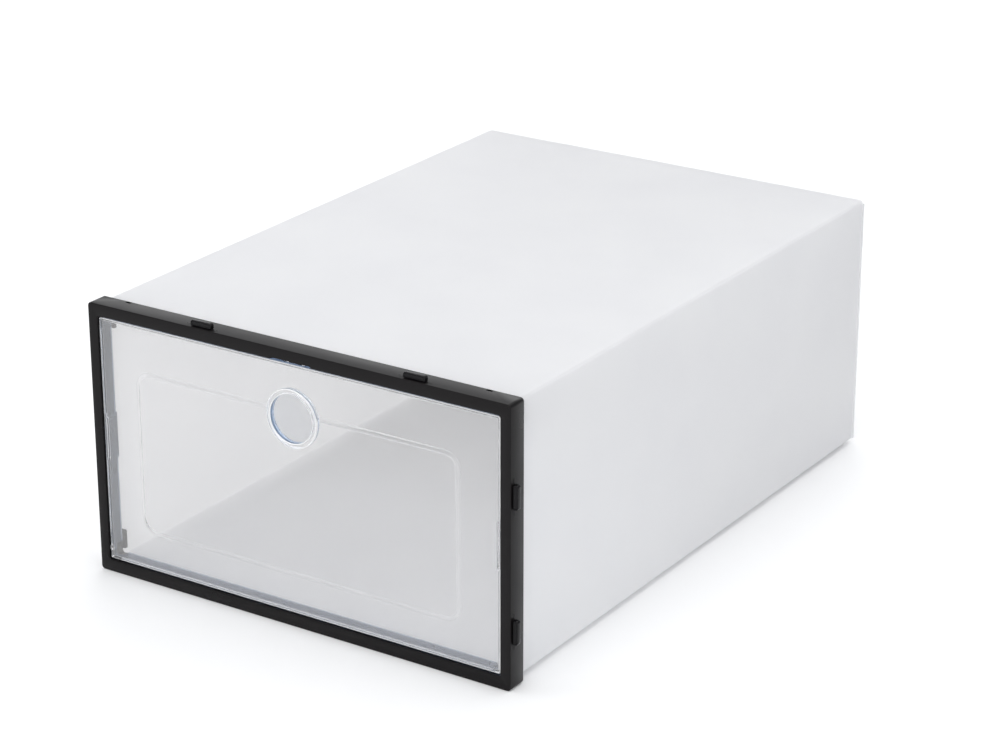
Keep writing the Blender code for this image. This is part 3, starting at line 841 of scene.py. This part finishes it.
def field_block(name, start, end):
    """A block with rounded corners whose front face rises over a soft foot, a slope and a soft crest."""
    shape = block(
        name,
        (MIDDLE - field_half, start, frame_low.z + FIELD_LOW),
        (MIDDLE + field_half, end, frame_low.z + FIELD_HIGH),
    )
    round_edges(shape, along(1), FIELD_RADIUS, 10)
    open_edit(shape)
    pick_faces(shape, lambda point, normal: normal.y < -SQUARE_ON)
    for width, rise in FIELD_STEPS:
        bpy.ops.mesh.inset(thickness=width, depth=rise)
    close_edit()
    return shape


join(door, field_block("field", door_front, door_front + BITE))
cut(door, field_block("recess", door_inside, door_inside + OVER))

# the pull ring
RING_BELOW_OPENING = 26 * MM
RING_OUTER = 14.0 * MM
RING_HOLE = 11.6 * MM
RING_PROUD = 1.0 * MM
RING_EDGE = 0.6 * MM
HOLE_EDGE = 0.5 * MM
RING_SIDES = 128
ring_z = opening_high - RING_BELOW_OPENING
ring_front = door_front - RING_PROUD
ring_back = door_inside + RING_PROUD
ring_middle = Vector((MIDDLE, (ring_front + ring_back) / 2, ring_z))

ring = round_bar("ring", ring_middle, RING_OUTER, ring_back - ring_front, 1, RING_SIDES)
round_edges(ring, lambda a, b: on_plane(1, ring_front)(a, b) or on_plane(1, ring_back)(a, b), RING_EDGE, 4)
join(door, ring)
hole = round_bar("hole", ring_middle, RING_HOLE, 2 * DOOR_DEPTH, 1, RING_SIDES)
cut(door, hole)


def on_hole_rim(a, b):
    level = abs(a.y - b.y) < SAME
    return level and all(
        abs(math.hypot(p.x - MIDDLE, p.z - ring_z) - RING_HOLE) < SAME
        and min(abs(p.y - ring_front), abs(p.y - ring_back)) < SAME
        for p in (a, b)
    )


round_edges(door, on_hole_rim, HOLE_EDGE, 4)

# pockets in the side rims, open at the back, that clear the detent ribs
DETENT_CLEARANCE = 1.5 * MM
pocket_low = detent_low - DETENT_CLEARANCE
pocket_high = detent_high + DETENT_CLEARANCE
pocket_depth = DETENT_REACH - DOOR_SIDE_GAP + SHEET_GAP
POCKET_EDGE = 0.5 * MM
for side in (-1, 1):
    low, high = mirrored(
        (door_half - pocket_depth - RIM_WALL, door_inside - SHEET_GAP, pocket_low - RIM_WALL),
        (door_half - RIM_WALL / 2, door_back, pocket_high + RIM_WALL),
        side,
    )
    step = block("step", low, high)
    inner_x = MIDDLE + side * (door_half - pocket_depth - RIM_WALL)
    join(door, round_edges(step, on_plane(0, inner_x), POCKET_EDGE, 3))
    low, high = mirrored(
        (door_half - pocket_depth, door_inside + SHEET_GAP, pocket_low),
        (door_half + OVER, door_back + OVER, pocket_high),
        side,
    )
    pocket = block("pocket", low, high)
    cut(door, round_edges(pocket, on_plane(0, MIDDLE + side * (door_half - pocket_depth)), POCKET_EDGE, 3))

# a slot in the top rim for the latch nub, and the bottom rim cut back where it would meet the corner stops
LATCH_CLEARANCE = 1.2 * MM
FLANGE_CUT = 4.8 * MM
slot_half = NUB_ROOT_HALF + LATCH_CLEARANCE
latch_slot = block(
    "latch_slot",
    (MIDDLE - slot_half, FRONT + NUB_DEPTH[0] - LATCH_CLEARANCE, door_high - RIM_WALL - OVER),
    (MIDDLE + slot_half, door_back + OVER, door_high + OVER),
)
cut(door, latch_slot)
for side in (-1, 1):
    low, high = mirrored(
        (door_half - FLANGE_CUT, hinge_y + PIN_RADIUS + SHEET_GAP, door_low - OVER),
        (door_half + OVER, door_back + OVER, hinge_z + PIN_RADIUS),
        side,
    )
    cut(door, block("corner", low, high))

# pins
PIN_EDGE = 0.3 * MM
for side in (-1, 1):
    start, end = door_half - RIM_WALL / 2, door_half + PIN_LENGTH
    pin_middle = (MIDDLE + side * (start + end) / 2, hinge_y, hinge_z)
    pin = round_bar("pin", pin_middle, PIN_RADIUS, end - start, 0, PIN_SIDES)
    join(door, round_edges(pin, on_plane(0, MIDDLE + side * end), PIN_EDGE, 2))
smooth(door, 32)
weighted = door.modifiers.new("weighted", "WEIGHTED_NORMAL")
weighted.keep_sharp = True
weighted.weight = 100
deselect()
bpy.context.view_layer.objects.active = door
bpy.ops.object.modifier_apply(modifier=weighted.name)

# How much painted highlight each face gets: white is painted into the colour where rounded edges would shine.
# Also which faces are seen edge on; these get a painted blue-grey shade where the plastic looks deep. Each
# face is told by how squarely it faces forwards or back.
FLAT = 0.9995
STRIP = 0.972  # the foot and crest of the raised field lie between this and FLAT
ROUNDED = 0.9  # the slope of the field lies between this and STRIP
SIDEWAYS = 0.05
EDGE_SHINE = 0.95
STRIP_SHINE = 0.16
SLOPE_SHINE = 0.04
# painted highlight: the share of white painted into the colour of rounded edges and of the field's strips and
# slope
glint = door.data.attributes.new("glint", "FLOAT", "FACE")
# painted shade: marks the faces seen edge on for a darker blue-grey colour
edge_on = door.data.attributes.new("edge_on", "FLOAT", "FACE")
for face in door.data.polygons:
    tilt = abs(face.normal.y)
    if SIDEWAYS < tilt < ROUNDED:
        glint.data[face.index].value = EDGE_SHINE
    elif ROUNDED <= tilt <= STRIP:
        glint.data[face.index].value = SLOPE_SHINE
    elif STRIP < tilt < FLAT:
        glint.data[face.index].value = STRIP_SHINE
    edge_on.data[face.index].value = 1.0 if tilt < SIDEWAYS else 0.0


# Clear polystyrene, injection moulded: polished faces, its own faint blue cast deepened into a painted
# blue-grey shade on faces seen edge on, and a painted white highlight on rounded edges, which let less light
# through there. Lamps shine through it, so what it shuts in stays lit.
def clear_plastic():
    material, tree, shader = new_material("clear_polystyrene")
    output = tree.nodes["Material Output"]
    place = add_node(tree, "ShaderNodeTexCoord").outputs["Object"]
    flow = add_node(
        tree, "ShaderNodeTexNoise", {"Vector": place, "Scale": grain_scale(30 * MM), "Detail": 1.0}
    )
    bump = add_node(
        tree, "ShaderNodeBump", {"Height": flow.outputs["Fac"], "Strength": 0.05, "Distance": 0.1 * MM}
    )
    tree.links.new(bump.outputs["Normal"], shader.inputs["Normal"])
    shining = add_node(tree, "ShaderNodeAttribute", attribute_name="glint").outputs["Fac"]
    sideways = add_node(tree, "ShaderNodeAttribute", attribute_name="edge_on").outputs["Fac"]
    # painted shade: darker blue-grey mixed into the colour of faces seen edge on, over the plastic's own
    # faint cast
    body = add_node(
        tree,
        "ShaderNodeMix",
        {"Factor": sideways, "A": colour("#fbfaf9"), "B": colour("#8ea4c4")},
        data_type="RGBA",
    )
    # painted highlight: white mixed into the colour where rounded edges would shine, with less light let
    # through there
    edge = add_node(
        tree,
        "ShaderNodeMix",
        {"Factor": shining, "A": body.outputs["Result"], "B": colour("#ffffff")},
        data_type="RGBA",
    )
    see_through = add_node(
        tree, "ShaderNodeMapRange", {"Value": shining, "To Min": 0.93, "To Max": 0.25}
    )
    tree.links.new(edge.outputs["Result"], shader.inputs["Base Color"])
    tree.links.new(see_through.outputs["Result"], shader.inputs["Transmission Weight"])
    shader.inputs["Roughness"].default_value = 0.04
    shader.inputs["IOR"].default_value = 1.57
    lamp = add_node(tree, "ShaderNodeLightPath").outputs["Is Shadow Ray"]
    clear = add_node(tree, "ShaderNodeBsdfTransparent", {"Color": colour("#f0f3f8")})
    both = add_node(
        tree, "ShaderNodeMixShader", {0: lamp, 1: shader.outputs["BSDF"], 2: clear.outputs["BSDF"]}
    )
    tree.links.new(both.outputs["Shader"], output.inputs["Surface"])
    return material


dress(door, clear_plastic(), "drop_door", "clear_plastic", "door")

# ---------------------------------------------------------------- floor, light and camera
# A wide pale table with soft panels above, in front, behind and on both sides, as in a product studio.
# The camera looks down at the box from its front right.

FLOOR_SIZE = 12
FLOOR_GAP = 0.1 * MM
deselect()
bpy.ops.mesh.primitive_plane_add(size=FLOOR_SIZE, location=(0, 0, frame_low.z - FLOOR_GAP))
floor = bpy.context.object
floor.name = "studio_floor"
floor_material, _, floor_shader = new_material("pale_floor")
floor_shader.inputs["Base Color"].default_value = colour("#fbfbfb")
floor_shader.inputs["Roughness"].default_value = 0.7
floor.data.materials.append(floor_material)

box_middle = Vector([(a + b) / 2 for a, b in zip(*cad_box)])


def soft_panel(name, place, width, height, power):
    """A white area lamp of that width and height in metres and power in watts, turned to the box."""
    lamp = bpy.data.lights.new(name, "AREA")
    lamp.shape = "RECTANGLE"
    lamp.size = width
    lamp.size_y = height
    lamp.energy = power
    holder = bpy.data.objects.new(name, lamp)
    holder.location = place
    holder.rotation_euler = (box_middle - Vector(place)).to_track_quat("-Z", "Y").to_euler()
    bpy.context.scene.collection.objects.link(holder)


soft_panel("top_panel_light", (0.0, 0.3, 1.7), 2.4, 2.4, 24)
soft_panel("rear_panel_light", (-1.0, 2.4, 1.15), 3.0, 0.9, 15)
soft_panel("right_panel_light", (2.2, 0.2, 0.9), 2.2, 1.4, 12)
soft_panel("left_panel_light", (-2.0, -0.9, 1.0), 1.8, 1.4, 10)
soft_panel("front_panel_light", (0.2, -2.2, 1.2), 2.2, 1.4, 28)

studio = bpy.data.worlds.new("studio")
studio.use_nodes = True
background = studio.node_tree.nodes["Background"]
background.inputs["Color"].default_value = colour("#eef1f6")
background.inputs["Strength"].default_value = 0.42
bpy.context.scene.world = studio
bpy.context.scene.view_settings.view_transform = "Standard"

CAMERA_PLACE = (0.731, -1.1186, 0.5956)
LENS = 106
SENSOR = 36
camera_data = bpy.data.cameras.new("camera")
camera_data.lens = LENS
camera_data.sensor_width = SENSOR
camera = bpy.data.objects.new("camera", camera_data)
camera.location = CAMERA_PLACE
camera.rotation_euler = (box_middle - Vector(CAMERA_PLACE)).to_track_quat("-Z", "Y").to_euler()
bpy.context.scene.collection.objects.link(camera)
bpy.context.scene.camera = camera
